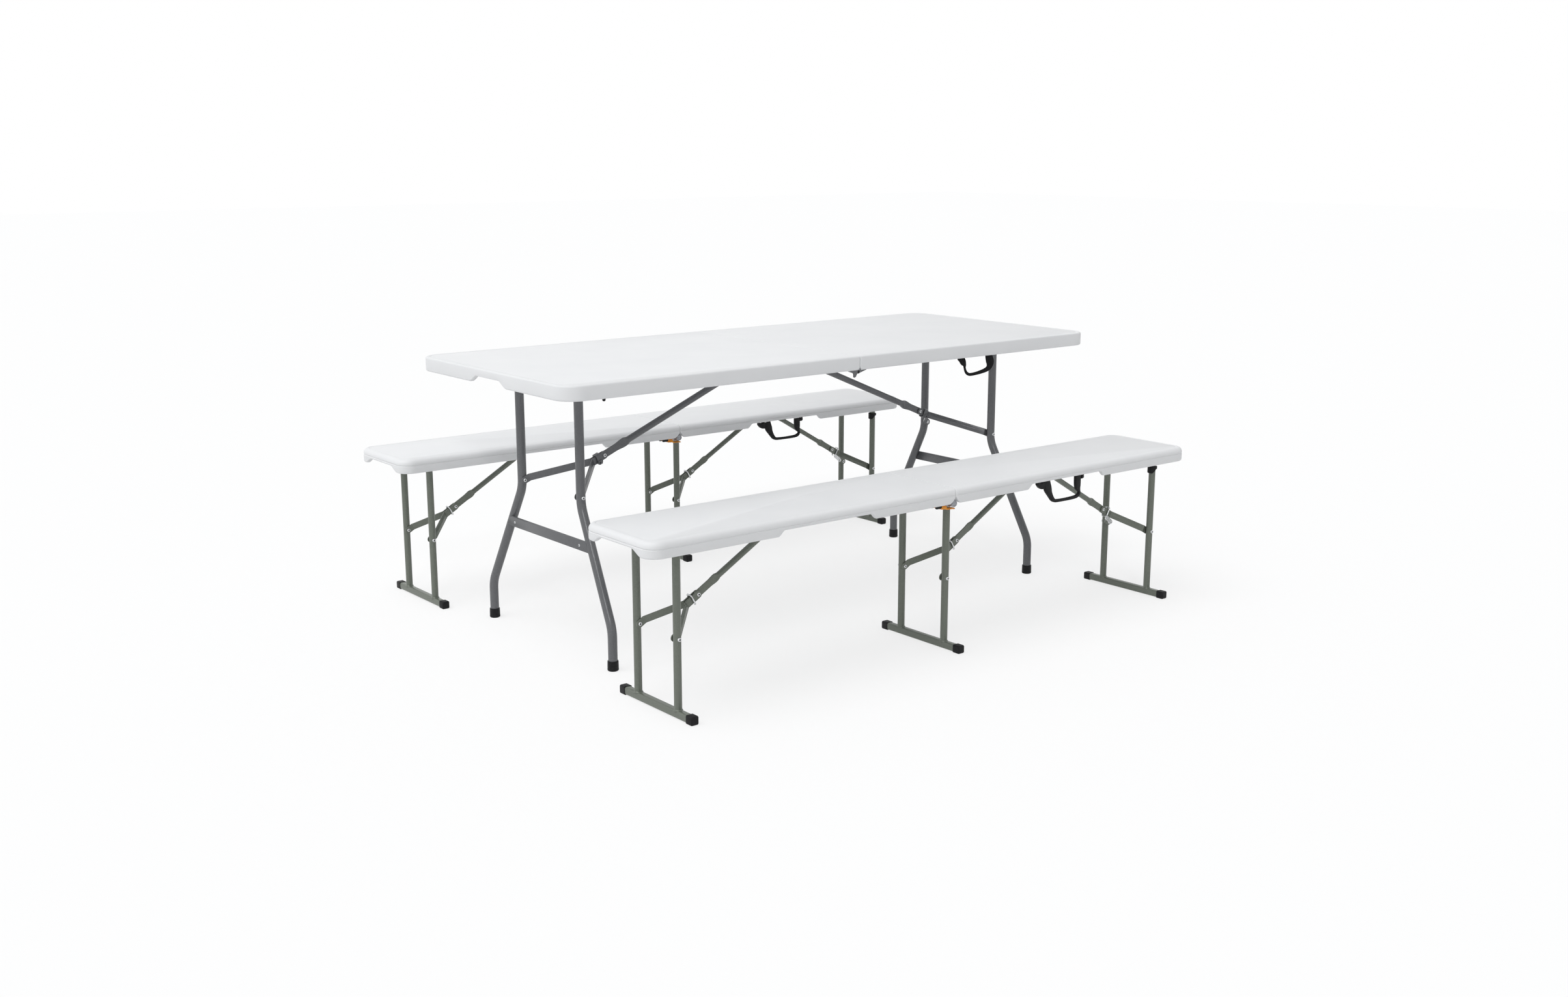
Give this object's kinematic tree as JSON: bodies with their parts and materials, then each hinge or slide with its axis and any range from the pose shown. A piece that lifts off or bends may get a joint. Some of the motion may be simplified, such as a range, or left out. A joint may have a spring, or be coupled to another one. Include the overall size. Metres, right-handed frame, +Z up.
{
  "type": "folding table with benches",
  "caption": "Cafeteria-style set: a folding table with moulded white top and splayed steel legs, and a matching folding bench along each long side.",
  "frame": {"origin": "on the floor under the middle of the table", "axes": "+X along the table to the right in the picture, +Y away from the camera, +Z up"},
  "size_m": [1.868, 1.51, 0.74],
  "materials": {
    "white_hdpe": "moulded, fine pebble grain",
    "dark_steel": "hammered gunmetal powder coat",
    "grey_steel": "grey powder coat",
    "zinc_steel": "zinc plated",
    "black_plastic": "matt",
    "orange_plastic": "moulded"
  },
  "bodies": {
    "table_left": {"table_top_left": "white_hdpe", "table_hinge_rod": "zinc_steel", "table_brace_rod_left": "zinc_steel"},
    "table_right": {"table_top_right": "white_hdpe", "table_brace_rod_right": "zinc_steel"},
    "table_handle": {"table_handle": "black_plastic"},
    "table_leg_left": {"table_leg_left": "dark_steel", "table_crossbar_left": "dark_steel", "table_foot_left_front": "black_plastic", "table_foot_left_back": "black_plastic"},
    "table_brace_left": {"table_brace_left": "dark_steel"},
    "table_fork_left": {"table_fork_left": "dark_steel"},
    "table_collar_left": {"table_collar_left": "dark_steel"},
    "table_leg_right": {"table_leg_right": "dark_steel", "table_crossbar_right": "dark_steel", "table_foot_right_front": "black_plastic", "table_foot_right_back": "black_plastic"},
    "table_brace_right": {"table_brace_right": "dark_steel"},
    "table_fork_right": {"table_fork_right": "dark_steel"},
    "table_collar_right": {"table_collar_right": "dark_steel"},
    "near_bench_left": {"near_bench_seat_left": "white_hdpe", "near_bench_hinge_rod": "zinc_steel", "near_bench_brace_rod_left": "zinc_steel"},
    "near_bench_right": {"near_bench_seat_right": "white_hdpe", "near_bench_brace_rod_middle": "zinc_steel", "near_bench_brace_rod_right": "zinc_steel"},
    "near_bench_handle": {"near_bench_handle": "black_plastic"},
    "near_bench_latch": {"near_bench_latch": "orange_plastic"},
    "near_bench_leg_left": {"near_bench_leg_left": "grey_steel"},
    "near_bench_brace_left": {"near_bench_brace_left": "grey_steel"},
    "near_bench_fork_left": {"near_bench_fork_left": "grey_steel"},
    "near_bench_ring_left": {"near_bench_ring_left": "zinc_steel"},
    "near_bench_leg_middle": {"near_bench_leg_middle": "grey_steel"},
    "near_bench_brace_middle": {"near_bench_brace_middle": "grey_steel"},
    "near_bench_fork_middle": {"near_bench_fork_middle": "grey_steel"},
    "near_bench_ring_middle": {"near_bench_ring_middle": "zinc_steel"},
    "near_bench_leg_right": {"near_bench_leg_right": "grey_steel"},
    "near_bench_brace_right": {"near_bench_brace_right": "grey_steel"},
    "near_bench_fork_right": {"near_bench_fork_right": "grey_steel"},
    "near_bench_ring_right": {"near_bench_ring_right": "zinc_steel"},
    "far_bench_left": {"far_bench_seat_left": "white_hdpe", "far_bench_hinge_rod": "zinc_steel", "far_bench_brace_rod_left": "zinc_steel"},
    "far_bench_right": {"far_bench_seat_right": "white_hdpe", "far_bench_brace_rod_middle": "zinc_steel", "far_bench_brace_rod_right": "zinc_steel"},
    "far_bench_handle": {"far_bench_handle": "black_plastic"},
    "far_bench_latch": {"far_bench_latch": "orange_plastic"},
    "far_bench_leg_left": {"far_bench_leg_left": "grey_steel"},
    "far_bench_brace_left": {"far_bench_brace_left": "grey_steel"},
    "far_bench_fork_left": {"far_bench_fork_left": "grey_steel"},
    "far_bench_ring_left": {"far_bench_ring_left": "zinc_steel"},
    "far_bench_leg_middle": {"far_bench_leg_middle": "grey_steel"},
    "far_bench_brace_middle": {"far_bench_brace_middle": "grey_steel"},
    "far_bench_fork_middle": {"far_bench_fork_middle": "grey_steel"},
    "far_bench_ring_middle": {"far_bench_ring_middle": "zinc_steel"},
    "far_bench_leg_right": {"far_bench_leg_right": "grey_steel"},
    "far_bench_brace_right": {"far_bench_brace_right": "grey_steel"},
    "far_bench_fork_right": {"far_bench_fork_right": "grey_steel"},
    "far_bench_ring_right": {"far_bench_ring_right": "zinc_steel"}
  },
  "joints": [
    {"name": "table_fold", "type": "hinge", "parent": "table_left", "child": "table_right", "pos_m": [0, 0, 0.702], "axis": [0, 1, 0], "range_deg": [0, 85]},
    {"name": "table_handle_swing", "type": "hinge", "parent": "table_right", "child": "table_handle", "pos_m": [0.456, -0.35419, 0.708], "axis": [1, 0, 0], "range_deg": [0, 70]},
    {"name": "table_leg_left_fold", "type": "hinge", "parent": "table_left", "child": "table_leg_left", "pos_m": [-0.741, 0, 0.713], "axis": [0, -1, 0], "range_deg": [0, 90]},
    {"name": "table_brace_left_swing", "type": "hinge", "parent": "table_left", "child": "table_brace_left", "pos_m": [-0.03, 0, 0.713], "axis": [0, -1, 0], "range_deg": [-22.68, 0]},
    {"name": "table_fork_left_swing", "type": "hinge", "parent": "table_brace_left", "child": "table_fork_left", "pos_m": [-0.57651, 0, 0.48471], "axis": [0, -1, 0], "range_deg": [0, 180]},
    {"name": "table_collar_left_slide", "type": "slide", "parent": "table_fork_left", "child": "table_collar_left", "axis": [0.9227, 0, 0.3854], "range_m": [-0.01, 0]},
    {"name": "table_leg_right_fold", "type": "hinge", "parent": "table_right", "child": "table_leg_right", "pos_m": [0.741, 0, 0.713], "axis": [0, 1, 0], "range_deg": [0, 90]},
    {"name": "table_brace_right_swing", "type": "hinge", "parent": "table_right", "child": "table_brace_right", "pos_m": [0.03, 0, 0.713], "axis": [0, 1, 0], "range_deg": [-22.68, 0]},
    {"name": "table_fork_right_swing", "type": "hinge", "parent": "table_brace_right", "child": "table_fork_right", "pos_m": [0.57651, 0, 0.48471], "axis": [0, 1, 0], "range_deg": [0, 180]},
    {"name": "table_collar_right_slide", "type": "slide", "parent": "table_fork_right", "child": "table_collar_right", "axis": [-0.9227, 0, 0.3854], "range_m": [-0.01, 0]},
    {"name": "near_bench_pull_out", "type": "slide", "parent": "table_left", "child": "near_bench_left", "axis": [0, -1, 0], "range_m": [0, 0.3]},
    {"name": "near_bench_fold", "type": "hinge", "parent": "near_bench_left", "child": "near_bench_right", "pos_m": [0, -0.606, 0.4], "axis": [0, 1, 0], "range_deg": [0, 85]},
    {"name": "near_bench_handle_swing", "type": "hinge", "parent": "near_bench_right", "child": "near_bench_handle", "pos_m": [0.421, -0.72519, 0.404], "axis": [-1, 0, 0], "range_deg": [-15, 60]},
    {"name": "near_bench_latch_turn", "type": "hinge", "parent": "near_bench_left", "child": "near_bench_latch", "pos_m": [-0.048, -0.723, 0.395], "axis": [0, 1, 0], "range_deg": [0, 60]},
    {"name": "near_bench_leg_left_fold", "type": "hinge", "parent": "near_bench_left", "child": "near_bench_leg_left", "pos_m": [-0.826, -0.606, 0.402], "axis": [0, -1, 0], "range_deg": [0, 90]},
    {"name": "near_bench_brace_left_swing", "type": "hinge", "parent": "near_bench_left", "child": "near_bench_brace_left", "pos_m": [-0.461, -0.606, 0.402], "axis": [0, -1, 0], "range_deg": [-30.16, 0]},
    {"name": "near_bench_fork_left_swing", "type": "hinge", "parent": "near_bench_brace_left", "child": "near_bench_fork_left", "pos_m": [-0.70965, -0.606, 0.25758], "axis": [0, -1, 0], "range_deg": [0, 180]},
    {"name": "near_bench_ring_left_slide", "type": "slide", "parent": "near_bench_fork_left", "child": "near_bench_ring_left", "axis": [0.8647, 0, 0.5022], "range_m": [-0.01, 0]},
    {"name": "near_bench_leg_middle_fold", "type": "hinge", "parent": "near_bench_right", "child": "near_bench_leg_middle", "pos_m": [0.0235, -0.606, 0.402], "axis": [0, -1, 0], "range_deg": [0, 90]},
    {"name": "near_bench_brace_middle_swing", "type": "hinge", "parent": "near_bench_right", "child": "near_bench_brace_middle", "pos_m": [0.3885, -0.606, 0.402], "axis": [0, -1, 0], "range_deg": [-30.16, 0]},
    {"name": "near_bench_fork_middle_swing", "type": "hinge", "parent": "near_bench_brace_middle", "child": "near_bench_fork_middle", "pos_m": [0.13985, -0.606, 0.25758], "axis": [0, -1, 0], "range_deg": [0, 180]},
    {"name": "near_bench_ring_middle_slide", "type": "slide", "parent": "near_bench_fork_middle", "child": "near_bench_ring_middle", "axis": [0.8647, 0, 0.5022], "range_m": [-0.01, 0]},
    {"name": "near_bench_leg_right_fold", "type": "hinge", "parent": "near_bench_right", "child": "near_bench_leg_right", "pos_m": [0.852, -0.606, 0.402], "axis": [0, 1, 0], "range_deg": [0, 90]},
    {"name": "near_bench_brace_right_swing", "type": "hinge", "parent": "near_bench_right", "child": "near_bench_brace_right", "pos_m": [0.487, -0.606, 0.402], "axis": [0, 1, 0], "range_deg": [-30.16, 0]},
    {"name": "near_bench_fork_right_swing", "type": "hinge", "parent": "near_bench_brace_right", "child": "near_bench_fork_right", "pos_m": [0.73565, -0.606, 0.25758], "axis": [0, 1, 0], "range_deg": [0, 180]},
    {"name": "near_bench_ring_right_slide", "type": "slide", "parent": "near_bench_fork_right", "child": "near_bench_ring_right", "axis": [-0.8647, 0, 0.5022], "range_m": [-0.01, 0]},
    {"name": "far_bench_pull_out", "type": "slide", "parent": "table_left", "child": "far_bench_left", "axis": [0, 1, 0], "range_m": [0, 0.3]},
    {"name": "far_bench_fold", "type": "hinge", "parent": "far_bench_left", "child": "far_bench_right", "pos_m": [0, 0.606, 0.4], "axis": [0, 1, 0], "range_deg": [0, 85]},
    {"name": "far_bench_handle_swing", "type": "hinge", "parent": "far_bench_right", "child": "far_bench_handle", "pos_m": [0.421, 0.48681, 0.404], "axis": [-1, 0, 0], "range_deg": [-15, 60]},
    {"name": "far_bench_latch_turn", "type": "hinge", "parent": "far_bench_left", "child": "far_bench_latch", "pos_m": [-0.048, 0.489, 0.395], "axis": [0, 1, 0], "range_deg": [0, 60]},
    {"name": "far_bench_leg_left_fold", "type": "hinge", "parent": "far_bench_left", "child": "far_bench_leg_left", "pos_m": [-0.826, 0.606, 0.402], "axis": [0, -1, 0], "range_deg": [0, 90]},
    {"name": "far_bench_brace_left_swing", "type": "hinge", "parent": "far_bench_left", "child": "far_bench_brace_left", "pos_m": [-0.461, 0.606, 0.402], "axis": [0, -1, 0], "range_deg": [-30.16, 0]},
    {"name": "far_bench_fork_left_swing", "type": "hinge", "parent": "far_bench_brace_left", "child": "far_bench_fork_left", "pos_m": [-0.70965, 0.606, 0.25758], "axis": [0, -1, 0], "range_deg": [0, 180]},
    {"name": "far_bench_ring_left_slide", "type": "slide", "parent": "far_bench_fork_left", "child": "far_bench_ring_left", "axis": [0.8647, 0, 0.5022], "range_m": [-0.01, 0]},
    {"name": "far_bench_leg_middle_fold", "type": "hinge", "parent": "far_bench_right", "child": "far_bench_leg_middle", "pos_m": [0.0235, 0.606, 0.402], "axis": [0, -1, 0], "range_deg": [0, 90]},
    {"name": "far_bench_brace_middle_swing", "type": "hinge", "parent": "far_bench_right", "child": "far_bench_brace_middle", "pos_m": [0.3885, 0.606, 0.402], "axis": [0, -1, 0], "range_deg": [-30.16, 0]},
    {"name": "far_bench_fork_middle_swing", "type": "hinge", "parent": "far_bench_brace_middle", "child": "far_bench_fork_middle", "pos_m": [0.13985, 0.606, 0.25758], "axis": [0, -1, 0], "range_deg": [0, 180]},
    {"name": "far_bench_ring_middle_slide", "type": "slide", "parent": "far_bench_fork_middle", "child": "far_bench_ring_middle", "axis": [0.8647, 0, 0.5022], "range_m": [-0.01, 0]},
    {"name": "far_bench_leg_right_fold", "type": "hinge", "parent": "far_bench_right", "child": "far_bench_leg_right", "pos_m": [0.852, 0.606, 0.402], "axis": [0, 1, 0], "range_deg": [0, 90]},
    {"name": "far_bench_brace_right_swing", "type": "hinge", "parent": "far_bench_right", "child": "far_bench_brace_right", "pos_m": [0.487, 0.606, 0.402], "axis": [0, 1, 0], "range_deg": [-30.16, 0]},
    {"name": "far_bench_fork_right_swing", "type": "hinge", "parent": "far_bench_brace_right", "child": "far_bench_fork_right", "pos_m": [0.73565, 0.606, 0.25758], "axis": [0, 1, 0], "range_deg": [0, 180]},
    {"name": "far_bench_ring_right_slide", "type": "slide", "parent": "far_bench_fork_right", "child": "far_bench_ring_right", "axis": [-0.8647, 0, 0.5022], "range_m": [-0.01, 0]}
  ],
  "couplings": [
    {"joint": "table_brace_left_swing", "follows": "table_leg_left_fold", "ratio": -0.2519},
    {"joint": "table_fork_left_swing", "follows": "table_leg_left_fold", "ratio": 2},
    {"joint": "table_brace_right_swing", "follows": "table_leg_right_fold", "ratio": -0.2519},
    {"joint": "table_fork_right_swing", "follows": "table_leg_right_fold", "ratio": 2},
    {"joint": "near_bench_brace_left_swing", "follows": "near_bench_leg_left_fold", "ratio": -0.33499},
    {"joint": "near_bench_fork_left_swing", "follows": "near_bench_leg_left_fold", "ratio": 2},
    {"joint": "near_bench_brace_middle_swing", "follows": "near_bench_leg_middle_fold", "ratio": -0.33499},
    {"joint": "near_bench_fork_middle_swing", "follows": "near_bench_leg_middle_fold", "ratio": 2},
    {"joint": "near_bench_brace_right_swing", "follows": "near_bench_leg_right_fold", "ratio": -0.33499},
    {"joint": "near_bench_fork_right_swing", "follows": "near_bench_leg_right_fold", "ratio": 2},
    {"joint": "far_bench_brace_left_swing", "follows": "far_bench_leg_left_fold", "ratio": -0.33499},
    {"joint": "far_bench_fork_left_swing", "follows": "far_bench_leg_left_fold", "ratio": 2},
    {"joint": "far_bench_brace_middle_swing", "follows": "far_bench_leg_middle_fold", "ratio": -0.33499},
    {"joint": "far_bench_fork_middle_swing", "follows": "far_bench_leg_middle_fold", "ratio": 2},
    {"joint": "far_bench_brace_right_swing", "follows": "far_bench_leg_right_fold", "ratio": -0.33499},
    {"joint": "far_bench_fork_right_swing", "follows": "far_bench_leg_right_fold", "ratio": 2}
  ]
}
